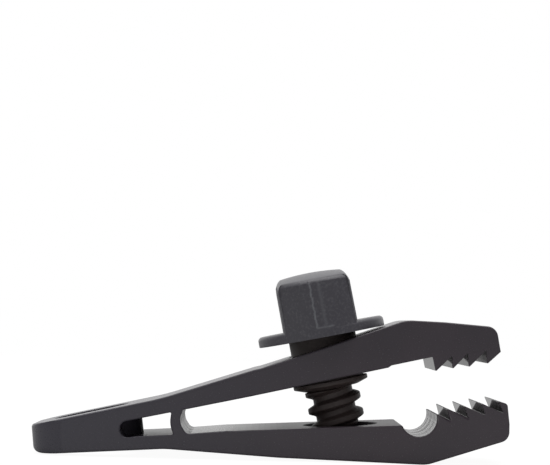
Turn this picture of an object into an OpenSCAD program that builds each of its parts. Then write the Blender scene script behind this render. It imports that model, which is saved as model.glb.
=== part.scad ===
// Tarp clip: a one-piece sprung clip with toothed jaws and a rope eyelet, closed by a captive
// thumb screw. X runs from the tail to the jaws, Z is up, and the clip lies on Z = 0, drawn open.

/* [Clip body] */
// Length from the tail end to the front of the lower jaw
clip_l = 114.4; // [107:0.2:124]
// Width across the arms and jaws
clip_w = 26; // [24:0.5:36]
// Height of the tail at its end
tail_end_h = 6.2; // [5.7:0.1:7]
// Slope of the top of the tail, in degrees
tail_top_deg = 13.5; // [13.2:0.1:15]
// Slope of the underside of the tail, in degrees
tail_under_deg = 3.8; // [3:0.1:4.6]
// Radius of the tail's two corners, seen from above
tail_corner_r = 7.5; // [3:0.5:10]
// Distance from the tail end to the strut
strut_x = 34.4; // [33:0.1:36]
// Thickness of the strut between the two slots
strut_t = 2.3; // [1.8:0.1:2.8]

/* [Eyelet] */
// Length of the rope eyelet
eyelet_l = 18.5; // [14:0.5:19.5]
// Width of the rope eyelet
eyelet_w = 10; // [7:0.5:12]
// Wall between the eyelet and the tail end
eyelet_end_wall = 6; // [4:0.1:6.5]
// Wall left round the eyelet inside the short slot
eyelet_wall = 2.6; // [1.5:0.1:2.8]

/* [Arms] */
// Thickness of the upper arm at its root
arm_root_t = 3.8; // [3.4:0.1:4.2]
// Slope of the top of the upper arm, in degrees
arm_top_deg = 19.6; // [18.8:0.1:20.2]
// Slope of the underside of the upper arm, in degrees
arm_under_deg = 13.2; // [12.6:0.1:14]
// Height of the lower arm's inner face beside the strut
lower_arm_t = 6.2; // [5.4:0.1:6.4]
// Slope of the lower arm's inner face, in degrees
lower_in_deg = 3.1; // [3:0.1:4]

/* [Jaws] */
// Length of the toothed lower jaw
jaw_l = 17; // [16.6:0.1:18]
// Spacing of the teeth
tooth_pitch = 4.1; // [3.6:0.1:4.2]
// Teeth on each jaw
tooth_count = 4; // [2:1:4]
// Depth of the teeth
tooth_depth = 2.6; // [2:0.1:2.9]
// Radius of the half-round cord groove behind the lower jaw
groove_r = 4.25; // [3.5:0.05:4.5]

/* [Thumb screw] */
// Distance from the tail end to the middle of the flange
screw_x = 70; // [68:0.1:71]
// Height of the underside of the flange at its middle
screw_z = 29.35; // [29.2:0.05:31]
// Lean of the screw towards the tail, in degrees
screw_lean = 12; // [11:0.1:12.6]
// Diameter of the round flange
flange_d = 31; // [26:0.5:31.5]
// Thickness of the flange
flange_t = 2.5; // [1.6:0.1:3]
// Width across the flat sides of the knob at its foot
knob_w = 17.2; // [14:0.2:20]
// Height of the knob's crown above the underside of the flange
knob_h = 15.8; // [13:0.2:18]
// Height of the knob at its two ends
knob_end_h = 12.7; // [10:0.1:12.9]
// Grip ribs on each side of a flat
rib_count = 4; // [2:1:4]
// Diameter of the plain neck
neck_d = 16.4; // [15:0.1:16.6]
// Diameter of the snap rim under the neck
rim_d = 18.2; // [18:0.1:19]
// Distance from the flange to the snap rim
neck_l = 10.7; // [10.5:0.1:11]
// Outer diameter of the thread
thread_d = 13.2; // [12:0.1:13.4]
// Height of the thread's ridge
thread_depth = 1.65; // [1:0.05:1.7]
// Pitch of the thread
thread_pitch = 4.1; // [3.6:0.1:4.6]
// Length from the flange to the tip of the screw
screw_l = 22.2; // [21.4:0.1:22.4]

/* [Hidden] */

moulding_colour = [0.24, 0.23, 0.25];
screw_colour = [0.17, 0.165, 0.18];

// Steps along a rounded corner of an outline
corner_steps = 8;
// Sides given to a round
round_sides = 96;
// Length by which a cut runs past what it cuts
over = 1;

// Rounding of the tail end, below and above
tail_heel_r = 2;
tail_brow_r = 1.2;
// Part of the tail face that the plan outline trims square
tail_proud = 0.3;
// Belly of the lower arm: where the underside turns down, and its height there
belly_x = 60;
belly_z = 0.8;
belly_r = 40;
// Place where the clip rests under the jaws, and the slope from there to the jaw front
chin_setback = 20;
chin_r = 8;
chin_deg = 18;
front_r = 2.5;
front_lean = 0.8;
// Knee between the tail and the lower arm, below the strut
knee_x = strut_x - strut_t / 2;
knee_z = knee_x * tan(tail_under_deg);
knee_r = 25;

// Round end of the long slot, against the strut
slot_end_r = 2.95;
slot_end_deg = 141;
slot_end = [strut_x + strut_t + slot_end_r, lower_arm_t + slot_end_r];

// Flexing root of the upper arm, drawn as a round heel in a round seat
heel_r = arm_root_t / 2;
heel_gap = 0.06;
heel_from_strut = 3.5;
heel_x = strut_x + heel_from_strut;
seat_r = heel_r + heel_gap;
seat_top_deg = 112;
seat_low_deg = 250;
seat_lip = 0.6;
heel = [heel_x, tail_end_h + (heel_x + seat_r * cos(seat_top_deg)) * tan(tail_top_deg)
    - seat_r * sin(seat_top_deg)];

function at(deg, r) = r * [cos(deg), sin(deg)];
function arc(centre, r, from, to, steps) =
    [for (i = [0 : steps]) centre + at(from + (to - from) * i / steps, r)];
function unit(v) = v / norm(v);
function turn(v) = atan2(v[1], v[0]);
function short(a) = a > 180 ? a - 360 : a < -180 ? a + 360 : a;

// Arc of radius r that rounds the corner b between a and c
function corner(a, b, c, r) =
    let (u = unit(a - b), v = unit(c - b), half = acos(u * v) / 2,
         centre = b + unit(u + v) * r / sin(half),
         first = turn(b + u * r / tan(half) - centre),
         last = turn(b + v * r / tan(half) - centre))
    [for (i = [0 : corner_steps]) centre + at(first + short(last - first) * i / corner_steps, r)];

// Outline whose points are [x, z] or [x, z, corner radius]
function rounded(points) =
    let (n = len(points), flat = [for (p = points) [p[0], p[1]]])
    [for (i = [0 : n - 1])
        each (len(points[i]) == 3
            ? corner(flat[(i + n - 1) % n], flat[i], flat[(i + 1) % n], points[i][2])
            : [flat[i]])];

// Point at x on the line through p at a slope in degrees
function along(p, deg, x) = [x, p[1] + (x - p[0]) * tan(deg)];
// Point where the line through p at slope a meets the line through q at slope b
function meet(p, a, q, b) =
    along(p, a, (q[1] - p[1] + p[0] * tan(a) - q[0] * tan(b)) / (tan(a) - tan(b)));

// Solid of the clip's full width with the given side outline
module slab(points, width = clip_w) {
    rotate([90, 0, 0])
        linear_extrude(width, center = true)
            polygon(points);
}

// Origin of the clip under the middle of its length
module clip_frame() {
    translate([-clip_l / 2, 0, 0])
        children();
}

// Frame of the screw: underside of the flange at the origin, axis up
module screw_frame() {
    translate([screw_x, 0, screw_z])
        rotate([0, -screw_lean, 0])
            children();
}

// Line of the tooth tips on both jaws, and the small flat left on each tip
tip_deg = 10.5;
tip_flat = 0.3;

// Teeth of the lower jaw: tips hook back towards the tail
lower_tip_in = 2.3;
lower_tip_z = 13;
lower_lip_z = 11.8;
lower_hook = 0.6;
lip_land = 0.4;
lower_tip = [clip_l - jaw_l + lower_tip_in, lower_tip_z];
lower_lip = [clip_l - jaw_l, lower_lip_z];
function lower_teeth() =
    [for (i = [tooth_count - 1 : -1 : 0])
        let (tip = lower_tip + at(tip_deg, i * tooth_pitch))
        each [tip + [tip_flat, 0], tip, tip + [lower_hook, -tooth_depth]]];

// Teeth of the upper jaw: upright backs, sloping fronts
upper_tip_back = 0.8;
upper_tip_z = 22;
upper_step = 0.9;
upper_undercut = 0.25;
upper_tip = [clip_l - jaw_l - upper_tip_back, upper_tip_z];
function upper_teeth() =
    [for (i = [0 : tooth_count - 1])
        let (tip = upper_tip + at(tip_deg, i * tooth_pitch))
        each [tip, tip + [tip_flat, 0],
            if (i < tooth_count - 1)
                tip + at(tip_deg, tooth_pitch) + [-upper_undercut, tooth_depth]]];

// Half-round groove: land left between it and the jaw, and its centre above the inner face
groove_land = 0.35;
groove_rise = 1.75;
inner_start = [slot_end[0], lower_arm_t];
groove = along(inner_start, lower_in_deg, lower_lip[0] - groove_r - groove_land) + [0, groove_rise];

// Front of the lower jaw
front_h = 10;
front_tip_rise = 2;
front_tip_r = 0.5;

function base_outline() = rounded(concat(
    [[tail_end_h * tan(eyelet_deg), 0, tail_heel_r],
     [knee_x, knee_z, knee_r],
     [belly_x, belly_z, belly_r],
     [clip_l - chin_setback, 0, chin_r],
     concat(along([clip_l - chin_setback, 0], chin_deg, clip_l), [front_r]),
     [clip_l, front_h],
     [clip_l - front_lean, lower_tip_z + front_tip_rise, front_tip_r]],
    lower_teeth(),
    [lower_lip, lower_lip - [lip_land, 0]],
    [along(inner_start, lower_in_deg, groove[0])],
    arc(slot_end, slot_end_r, 270, slot_end_deg, corner_steps),
    [[heel_x - seat_lip, heel[1] - sqrt(pow(seat_r, 2) - pow(seat_lip, 2))]],
    arc(heel, seat_r, seat_low_deg, seat_top_deg, corner_steps),
    [[-tail_proud, tail_end_h, tail_brow_r]]));

// Short slot between the eyelet and the strut
slot_start_x = 22.4;
slot_under = 2.85;
slot_over = 3.25;
slot_top_deg = 12.2;
slot_corner_r = 1.85;
// Bulge of the strut's face in the short slot, and its height above the slot floor
strut_bulge = 0.3;
strut_bulge_h = 2.9;
function slot_outline() =
    let (low = [slot_start_x, slot_start_x * tan(tail_under_deg) + slot_under],
         high = [slot_start_x, tail_end_h + slot_start_x * tan(tail_top_deg) - slot_over])
    rounded([concat(low, [slot_corner_r]),
        along(low, tail_under_deg, strut_x + 2 * strut_bulge),
        along(low, tail_under_deg, strut_x) + [0, strut_bulge_h],
        along(high, slot_top_deg, strut_x + strut_bulge),
        concat(high, [slot_corner_r])]);

// Eyelet, square to the middle plane of the tail
eyelet_deg = (tail_top_deg + tail_under_deg) / 2;
module eyelet_shape(grow, height) {
    run = eyelet_l - eyelet_w;
    x = eyelet_end_wall + eyelet_l / 2;
    translate([x, 0, tail_end_h / 2 + x * tan(eyelet_deg)])
        rotate([0, -eyelet_deg, 0])
            union() {
                for (side = [-1, 1])
                    translate([side * run / 2, 0, 0])
                        cylinder(r = eyelet_w / 2 + grow, h = height, center = true, $fn = round_sides);
                cube([run, eyelet_w + 2 * grow, height], center = true);
            }
}

// Plan of the clip: square at the jaws, rounded at the tail
module plan(height) {
    linear_extrude(height)
        polygon(rounded([[0, -clip_w / 2, tail_corner_r], [clip_l + over, -clip_w / 2],
            [clip_l + over, clip_w / 2], [0, clip_w / 2, tail_corner_r]]));
}

// Thread as a surface of revolution whose radius follows a right-hand helix
thread_sides = 36;
thread_rows = 12;
thread_start = 13;
thread_tip = 0.5;
thread_gap = 0.3;
thread_run_out = 1.2;
// Length by which the screw's parts sink into each other, and the step in radius where they meet
join = 0.1;
core_step = 0.1;
crest_at = 19.4;
crest_share = 0.12;
root_share = 0.38;
function ridge(share) =
    let (away = abs(share - round(share)))
    away < crest_share ? 1 : away > root_share ? 0
        : (1 + cos(180 * (away - crest_share) / (root_share - crest_share))) / 2;
function fade(t, from, to) =
    max(0, min(1, (t - from - join) / thread_run_out, (to - join - t) / thread_run_out));

module thread(from, to, grow, faded) {
    rows = ceil((to - from) / thread_pitch * thread_rows);
    points = [for (k = [0 : rows], j = [0 : thread_sides - 1])
        let (t = from + (to - from) * k / rows, deg = 360 * j / thread_sides,
             rise = ridge((crest_at - t) / thread_pitch - deg / 360) * (faded ? fade(t, from, to) : 1),
             r = thread_d / 2 - thread_depth * (1 - rise) + grow)
        [r * cos(deg), r * sin(deg), -t]];
    sides = [for (k = [0 : rows - 1], j = [0 : thread_sides - 1])
        let (a = k * thread_sides + j, b = k * thread_sides + (j + 1) % thread_sides)
        each [[a, b, a + thread_sides], [b, b + thread_sides, a + thread_sides]]];
    lid = [for (j = [thread_sides - 1 : -1 : 0]) j];
    foot = [for (j = [0 : thread_sides - 1]) rows * thread_sides + j];
    polyhedron(points, concat(sides, [lid, foot]), convexity = 6);
}

// Ring of the lower arm that holds the thread, and where its thread starts above the screw's tip
seat_wall = 2.5;
seat_d = thread_d + 2 * seat_wall;
seat_reach = 12;
thread_entry = 3;
// Lead-in funnel round the mouth of the threaded hole: wall left beside it, and its depth
mouth_wall = 0.5;
mouth_depth = 1.8;
core_d = thread_d - 2 * thread_depth + 2 * core_step;

module clip_base() {
    color(moulding_colour)
        clip_frame()
            difference() {
                intersection() {
                    slab(base_outline());
                    plan(clip_l);
                }
                eyelet_shape(0, clip_l);
                difference() {
                    slab(slot_outline(), clip_w + 2 * over);
                    eyelet_shape(eyelet_wall, clip_l);
                }
                translate([groove[0], 0, groove[1]])
                    rotate([90, 0, 0])
                        cylinder(r = groove_r, h = clip_w + 2 * over, center = true, $fn = round_sides);
                screw_frame()
                    translate([0, 0, -screw_l - seat_reach])
                        cylinder(d = seat_d, h = 2 * seat_reach, $fn = round_sides);
            }
}

// Funnel into the threaded hole, square to the lower arm's upper face
module thread_mouth() {
    screw_frame()
        translate([0, 0, -depth_to(inner_start, lower_in_deg)])
            rotate([0, screw_lean - lower_in_deg, 0]) {
                translate([0, 0, -mouth_depth])
                    cylinder(r1 = thread_d / 2 + thread_gap, r2 = seat_d / 2 - mouth_wall,
                        h = mouth_depth, $fn = round_sides);
                translate([0, 0, -join])
                    cylinder(r = seat_d / 2 - mouth_wall, h = over + join, $fn = round_sides);
            }
}

// Wall of the threaded hole, a part of the lower arm
module thread_seat() {
    color(moulding_colour)
        clip_frame()
            difference() {
                intersection() {
                    slab(base_outline());
                    screw_frame()
                        translate([0, 0, -screw_l - seat_reach])
                            cylinder(d = seat_d, h = 2 * seat_reach, $fn = round_sides);
                }
                screw_frame()
                    thread(screw_l - thread_entry, screw_l + seat_reach, thread_gap, false);
                thread_mouth();
            }
}

// Upper arm: lines of its underside and top, the top of its jaw and the front of its jaw
arm_in = heel + at(arm_under_deg - 90, heel_r);
arm_out = heel + at(arm_top_deg + 90, heel_r);
jaw_top_deg = -2.8;
jaw_top_back = 4.7;
jaw_top_z = 32.75;
jaw_top = [clip_l - jaw_top_back, jaw_top_z];
brow = meet(arm_out, arm_top_deg, jaw_top, jaw_top_deg);
brow_r = 8;
nose_back = 2.6;
nose_z = 26.7;
nose_draft = 1.1;
nose_r = 2;
upper_front_x = clip_l - nose_back;

// Angle by which the arm closes, and the depth of its middle plane along the screw
closing_deg = 8;
function depth_to(p, deg) = (screw_z - p[1] - (screw_x - p[0]) * tan(deg))
    / (cos(screw_lean) + sin(screw_lean) * tan(deg));
arm_middle = (depth_to(arm_in, arm_under_deg) + depth_to(arm_out, arm_top_deg)) / 2;
// Room between the neck and the arm's hole
arm_hole_gap = 0.45;

function arm_outline() = rounded(concat(
    arc(heel, heel_r, arm_top_deg + 90, 270 + arm_under_deg, 2 * corner_steps),
    [along(arm_in, arm_under_deg, upper_tip[0] - upper_step)],
    upper_teeth(),
    [[upper_front_x, nose_z, tip_flat],
     concat(along(jaw_top, jaw_top_deg, upper_front_x - nose_draft), [nose_r]),
     concat(brow, [brow_r])]));

module upper_arm() {
    color(moulding_colour)
        clip_frame()
            difference() {
                slab(arm_outline());
                screw_frame()
                    translate([0, 0, -arm_middle])
                        rotate([0, -closing_deg / 2, 0])
                            cylinder(r = neck_d / 2 + arm_hole_gap, h = screw_l, center = true,
                                $fn = round_sides);
            }
}

// Plain neck of the screw with its snap rim and the taper that leads the rim into the arm
sleeve_gap = 0.06;
rim_t = 0.7;
lead_in = 1.5;
lead_in_d = 13.6;
module neck_sleeve() {
    color(screw_colour)
        clip_frame()
            screw_frame()
                rotate_extrude($fn = round_sides)
                    polygon([[core_d / 2 + sleeve_gap, -sleeve_gap], [neck_d / 2, -sleeve_gap],
                        [neck_d / 2, -neck_l], [rim_d / 2, -neck_l], [rim_d / 2, -neck_l - rim_t],
                        [lead_in_d / 2, -neck_l - rim_t - lead_in],
                        [core_d / 2 + sleeve_gap, -neck_l - rim_t - lead_in]]);
}

// Rounding of the flange's upper edge, and the ledge it leaves round the knob's foot
flange_edge_r = 1;
flange_ledge = 0.05;
// How far the knob's rounded ends and its flat sides draw in from the foot to the crown
end_draft = 0.6;
knob_draft = 0.1;
// Grip ribs: diameter, spacing, plain panel between them, and plain band under the crown
rib_d = 0.8;
rib_sides = 24;
rib_pitch = 2.75;
panel_w = 8;
crown_band = 1.5;
module thumb_knob() {
    foot_r = flange_d / 2 - flange_ledge;
    crown_drop = knob_h - knob_end_h;
    crown_r = (pow(flange_d / 2, 2) + pow(crown_drop, 2)) / (2 * crown_drop);
    color(moulding_colour)
        clip_frame()
            screw_frame()
                union() {
                    rotate_extrude($fn = round_sides)
                        polygon(rounded([[0, 0], [flange_d / 2, 0],
                            [flange_d / 2, flange_t, flange_edge_r], [0, flange_t]]));
                    intersection() {
                        cylinder(r1 = foot_r, r2 = foot_r - end_draft, h = knob_h, $fn = round_sides);
                        union() {
                            slab([[-knob_w / 2, 0], [knob_w / 2, 0],
                                [knob_w / 2 - knob_draft, knob_h], [knob_draft - knob_w / 2, knob_h]],
                                flange_d);
                            for (face = [-1, 1], side = [-1, 1], i = [0 : rib_count - 1])
                                translate([face * (knob_w / 2 - rib_d / 4),
                                    side * (panel_w / 2 + i * rib_pitch), 0])
                                    rotate([0, -face * atan(knob_draft / knob_h), 0])
                                        cylinder(d = rib_d, h = knob_end_h - crown_band,
                                            $fn = rib_sides);
                        }
                        translate([0, 0, knob_h - crown_r])
                            rotate([0, 90, 0])
                                cylinder(r = crown_r, h = flange_d, center = true, $fn = round_sides);
                    }
                }
}

// Blunt tip of the screw
tip_chamfer = 0.7;
module thread_core() {
    color(screw_colour)
        clip_frame()
            screw_frame()
                union() {
                    translate([0, 0, -thread_start - join])
                        cylinder(d = core_d, h = thread_start + join, $fn = round_sides);
                    thread(thread_start, screw_l - thread_tip, 0, true);
                    translate([0, 0, -screw_l])
                        cylinder(r1 = core_d / 2 - tip_chamfer, r2 = core_d / 2 - 2 * core_step,
                            h = thread_tip + join, $fn = round_sides);
                }
}

clip_base();
thread_seat();
upper_arm();
neck_sleeve();
thumb_knob();
thread_core();
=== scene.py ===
import math

import bpy
import numpy as np
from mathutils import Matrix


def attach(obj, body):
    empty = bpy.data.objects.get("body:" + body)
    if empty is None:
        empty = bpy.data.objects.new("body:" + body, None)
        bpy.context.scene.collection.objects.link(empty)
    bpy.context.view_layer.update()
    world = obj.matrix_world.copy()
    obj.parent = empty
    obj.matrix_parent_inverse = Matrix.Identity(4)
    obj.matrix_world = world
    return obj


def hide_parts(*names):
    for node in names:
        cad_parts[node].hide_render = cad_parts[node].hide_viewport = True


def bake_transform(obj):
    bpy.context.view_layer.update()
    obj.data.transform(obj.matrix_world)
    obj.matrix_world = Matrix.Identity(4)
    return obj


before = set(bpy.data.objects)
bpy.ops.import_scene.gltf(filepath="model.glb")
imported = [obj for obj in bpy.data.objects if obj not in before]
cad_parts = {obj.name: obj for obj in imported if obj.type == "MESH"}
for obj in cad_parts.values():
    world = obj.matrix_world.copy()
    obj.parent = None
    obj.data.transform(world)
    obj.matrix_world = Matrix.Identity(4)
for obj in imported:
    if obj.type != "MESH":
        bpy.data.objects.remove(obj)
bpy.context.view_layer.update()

# One millimetre in metres: the pieces are worked out in millimetres
MM = 0.001
CLIP_LENGTH = 114.4
CLIP_WIDTH = 26.0
TAIL_END_HEIGHT = 6.62
TAIL_TOP_DEGREES, TAIL_UNDER_DEGREES = 13.0, 3.8
TAIL_CORNER_RADIUS = 7.5
# Width of the rounded edge beside each side face
EDGE_WIDTH = 0.4
# Edges that turn by more than this many degrees stay crisp
CRISP_DEGREES = 38


def slope(degrees):
    """Rise per millimetre of a line that climbs at that angle."""
    return math.tan(math.radians(degrees))


TAIL_TOP_SLOPE, TAIL_UNDER_SLOPE = slope(TAIL_TOP_DEGREES), slope(TAIL_UNDER_DEGREES)


def filleted(corners, steps=9):
    """Closed outline whose corner [a, b, radius] is replaced by the arc that touches both of its
    sides: the arc's centre lies on the corner's bisector at radius / sin(half the corner's angle).
    A corner of radius 0 stays one point."""
    corners = np.array(corners, float)
    point, radius = corners[:, :2], corners[:, 2]
    back = np.roll(point, 1, 0) - point
    ahead = np.roll(point, -1, 0) - point
    back /= np.linalg.norm(back, axis=1)[:, None]
    ahead /= np.linalg.norm(ahead, axis=1)[:, None]
    half = np.arccos(np.clip((back * ahead).sum(1), -1, 1)) / 2
    bisector = back + ahead
    bisector /= np.maximum(np.linalg.norm(bisector, axis=1), 1e-9)[:, None]
    centre = point + bisector * (radius / np.sin(half))[:, None]
    touch = (radius / np.tan(half))[:, None]
    first = point + back * touch - centre
    last = point + ahead * touch - centre
    start = np.arctan2(first[:, 1], first[:, 0])
    sweep = np.arctan2(last[:, 1], last[:, 0]) - start
    sweep = (sweep + math.pi) % (2 * math.pi) - math.pi
    angle = start[:, None] + sweep[:, None] * np.linspace(0, 1, steps)
    spoke = np.stack([np.cos(angle), np.sin(angle)], 2)
    arc = centre[:, None] + radius[:, None, None] * spoke
    kept = np.ones(arc.shape[:2], bool)
    kept[radius == 0, 1:] = False
    return arc[kept]


def arc_points(centre, radius, start, end, steps):
    """Points of an arc, each a corner of radius 0, at even angles from start to end in degrees."""
    angle = np.radians(np.linspace(start, end, steps))
    return np.stack([centre[0] + radius * np.cos(angle), centre[1] + radius * np.sin(angle),
                     0 * angle], 1)


def outward(outline):
    """Vector by which each point of an anticlockwise outline moves when the outline grows by one:
    the sum of its two sides' normals over one plus their cosine."""
    side = np.roll(outline, -1, 0) - outline
    normal = np.stack([side[:, 1], -side[:, 0]], 1)
    normal /= np.linalg.norm(normal, axis=1)[:, None]
    before = np.roll(normal, 1, 0)
    return (normal + before) / np.maximum(1 + (normal * before).sum(1), 0.25)[:, None]


def grid_faces(rows, columns):
    """Corner numbers of the quads of a grid whose points run along each row, then row by row.
    Each row is a ring, so its last point is joined to its first."""
    row, column = np.meshgrid(np.arange(rows - 1), np.arange(columns), indexing="ij")
    following = (column + 1) % columns
    quads = [row * columns + column, row * columns + following,
             (row + 1) * columns + following, (row + 1) * columns + column]
    return np.stack(quads, 2).reshape(-1, 4)


def capped_faces(rows, columns):
    """Faces of a closed bar: the quads of its grid, turned over, and a flat end over its first and
    its last row."""
    end = np.arange(columns)
    return [*grid_faces(rows, columns)[:, ::-1], end, end[::-1] + (rows - 1) * columns]


def from_tail(x, y, z):
    """Points of the clip's frame, whose origin lies on the table under the clip's middle, from x
    measured from the tail's end, y from the middle plane and z from the table."""
    return np.stack([x - CLIP_LENGTH / 2, np.broadcast_to(y, x.shape), z], -1)


def mesh_piece(name, points, faces, sharp=CRISP_DEGREES, finish=0.0, marks=0.0):
    """Object from points in millimetres of the clip's frame and a list of faces. Edges that turn
    by more than sharp degrees stay crisp. finish is how much rougher than the side faces a face of
    the mould was left, and marks how deep its cutting marks are, one number or one for each face."""
    mesh = bpy.data.meshes.new(name)
    mesh.from_pydata((np.asarray(points) * MM).tolist(), [], [list(map(int, f)) for f in faces])
    for title, value in (("finish", finish), ("marks", marks)):
        mesh.attributes.new(title, "FLOAT", "FACE").data.foreach_set(
            "value", np.broadcast_to(value, len(faces)).astype(float))
    mesh.validate()
    mesh.polygons.foreach_set("use_smooth", np.ones(len(mesh.polygons), bool))
    mesh.set_sharp_from_angle(angle=math.radians(sharp))
    mesh.update()
    piece = bpy.data.objects.new(name, mesh)
    bpy.context.scene.collection.objects.link(piece)
    return piece


def carried_across(name, outline, growth, softness, finish, marks, warp=None):
    """Bar with the given side outline, carried across the clip's width. Near each side face the
    outline draws in along a quarter ellipse, so that its edges are round: inset =
    softness * (1 - sin t) while the distance from the face is edge width * (1 - cos t). The rows
    between lie at even angles of the tail's two rounded corners."""
    t = np.linspace(0, math.pi / 2, 6)
    corner_at = CLIP_WIDTH / 2 - TAIL_CORNER_RADIUS
    bend = corner_at + TAIL_CORNER_RADIUS * np.sin(np.radians(np.arange(5, 69, 7)))
    edge = CLIP_WIDTH / 2 - EDGE_WIDTH * (1 - np.cos(t))
    drawn_in = 1 - np.sin(t)
    across = np.concatenate([-edge, -bend[::-1], [0], bend, edge[::-1]])
    inset = np.concatenate([drawn_in, np.zeros(2 * len(bend) + 1), drawn_in[::-1]])
    xz = outline[None] - growth[None] * (softness[None] * inset[:, None])[..., None]
    if warp:
        xz = warp(xz, across[:, None])
    points = from_tail(xz[..., 0], across[:, None], xz[..., 1])
    rows, columns = points.shape[:2]
    return mesh_piece(name, points.reshape(-1, 3), capped_faces(rows, columns),
                      finish=np.concatenate([np.tile(finish, rows - 1), [0, 0]]),
                      marks=np.concatenate([np.tile(marks, rows - 1), [0, 0]]))


def tail_plan(xz, across):
    """Rounds the tail's two corners as seen from above: a point near the tail's end moves along
    the tail by radius - sqrt(radius^2 - (distance past the corner's centre)^2), and less and less
    up to 18 mm from the end, keeping its share of the tail's height."""
    past = np.clip(np.abs(across) - (CLIP_WIDTH / 2 - TAIL_CORNER_RADIUS), 0, TAIL_CORNER_RADIUS)
    setback = TAIL_CORNER_RADIUS - np.sqrt(TAIL_CORNER_RADIUS ** 2 - past ** 2)
    unmoved_at, fading_length = 18, 17
    x, z = xz[..., 0], xz[..., 1]
    move = setback * np.clip((unmoved_at - x) / fading_length, 0, 1)
    low, high = x * TAIL_UNDER_SLOPE, TAIL_END_HEIGHT + x * TAIL_TOP_SLOPE
    share = np.clip((z - low) / (high - low), 0, 1)
    rise = TAIL_UNDER_SLOPE + (TAIL_TOP_SLOPE - TAIL_UNDER_SLOPE) * share
    return np.stack([x + move, z + move * rise], 2)


def carve(piece, *cutters):
    """Takes the cutters' solids out of the piece and deletes them."""
    for cutter in cutters:
        cut = piece.modifiers.new("cut", "BOOLEAN")
        cut.operation, cut.solver, cut.object = "DIFFERENCE", "EXACT", cutter
    tools = bpy.context.evaluated_depsgraph_get()
    carved = bpy.data.meshes.new_from_object(piece.evaluated_get(tools))
    piece.modifiers.clear()
    piece.data = carved
    for cutter in cutters:
        bpy.data.objects.remove(cutter)
    carved.polygons.foreach_set("use_smooth", np.ones(len(carved.polygons), bool))
    carved.set_sharp_from_angle(angle=math.radians(CRISP_DEGREES))


def even_shading(piece):
    """Large flat faces keep flat shading beside their rounded edges."""
    weigh = piece.modifiers.new("even shading", "WEIGHTED_NORMAL")
    weigh.keep_sharp = True
    weigh.weight = 100


# Two rows of four teeth in a 4.1 mm pitch, which mesh when the clip is closed. The cutter left
# them slightly uneven, so each tip and root has a small shift of its own, [x, z].
TOOTH_PITCH, ROW_TILT = 4.1, math.radians(10.5)
TOOTH_STEP = np.array([math.cos(ROW_TILT), math.sin(ROW_TILT)]) * TOOTH_PITCH
TIP_FLAT = [0.3, 0]
LOWER_TIP, UPPER_TIP = np.array([99.4, 13.15]), np.array([96.45, 22.0])
# from the front tooth back: shift of the tip, and the way from the tip to the root under it
LOWER_SHIFTS = np.array([[0, -0.15], [0, 0], [0, 0], [0, 0]])
LOWER_ROOTS = np.array([[1.25, -2.8], [1.0, -2.75], [1.0, -2.75], [0.75, -2.7]])
# from the back tooth on: shift of the tip, and the way from the next even tip to the root
UPPER_SHIFTS = np.array([[0, 0.1], [-0.05, 0.05], [-0.25, -0.2], [0, -0.09]])
UPPER_ROOTS = np.array([[-0.2, 2.95], [-0.45, 2.95], [-0.2, 2.95]])


def tooth_corners(*corners):
    """Corners [x, z, radius] of a row of teeth, tooth by tooth, from one array of places for each
    corner of a tooth. The two corners of the tip are rounded by 0.1 mm and the root by 0.12 mm."""
    rounded = [np.c_[at, np.full(len(at), radius)] for at, radius in zip(corners, (0.1, 0.1, 0.12))]
    return np.stack(rounded, 1).reshape(-1, 3)


tooth = np.arange(4)[:, None]
lower_tips = LOWER_TIP + tooth[::-1] * TOOTH_STEP + LOWER_SHIFTS
lower_teeth = tooth_corners(lower_tips + TIP_FLAT, lower_tips, lower_tips + LOWER_ROOTS)
even_tips = UPPER_TIP + tooth * TOOTH_STEP
upper_tips = even_tips + UPPER_SHIFTS
back_teeth = upper_tips[:-1]
upper_teeth = tooth_corners(back_teeth, back_teeth + TIP_FLAT,
                            even_tips[:-1] + TOOTH_STEP + UPPER_ROOTS)
# the front tooth has no root: it slopes up to the jaw's front
front_tooth = tooth_corners(upper_tips[-1:], upper_tips[-1:] + TIP_FLAT)

# Side outline of the whole moulding, anticlockwise from the tail's lower corner. A point is
# [x from the tail's end, z from the table, radius of its corner].
# cord groove: its centre, its radius, and where its back edge meets the long slot's floor
GROOVE, GROOVE_RADIUS, GROOVE_BACK = (92.8, 10.83), 4.25, 89.1
# floor of the long slot, from its end at the strut
SLOT_END, SLOT_FLOOR_RISE = (39.65, 6.3), slope(3.23)
# underside of the lower arm: belly, then the chin that the clip lies on, then the jaw's slope
BELLY, BELLY_CORNER = (60, 0.8), 40.0
CHIN, CHIN_LENGTH, CHIN_SLOPE = [94.9, -0.03, 8.0], 19.4, slope(18)
JAW_FRONT = CLIP_LENGTH - 0.2
# upper arm: its top, its underside, and the corner and the crease between which its root bends
BROW_FOOT, ARM_TOP_SLOPE = (66, 25.341), slope(18.4)
ARM_ROOT, ARM_UNDER_SLOPE = (38.334, 11.5), slope(13.2)
ROOT_CORNER, CREASE_X = [37.33, 11.48, 0.15], 36.6
# step of its underside, thinning towards its root, and dip of its top
ARM_STEP_X, ARM_STEP_RUN, ARM_STEP_RISE = 85.4, 0.7, 0.36
THICK_X, THIN_RUN, THIN_RISE = 53, 14.6, 0.15
FLANGE_DIP_X, FLANGE_DIP_END, FLANGE_DIP = 55.2, 53.6, 0.14


def arm_under(x):
    """Underside of the upper arm: it climbs by 13.2 degrees, lies up to 0.15 mm higher where the
    arm thins towards its root, and steps up by 0.36 mm in front of the screw."""
    thinned = THIN_RISE * np.clip((THICK_X - x) / THIN_RUN, 0, 1)
    step = ARM_STEP_RISE * np.clip((x - ARM_STEP_X) / ARM_STEP_RUN, 0, 1)
    return [x, ARM_ROOT[1] + (x - ARM_ROOT[0]) * ARM_UNDER_SLOPE + thinned + step, 0]


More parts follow.
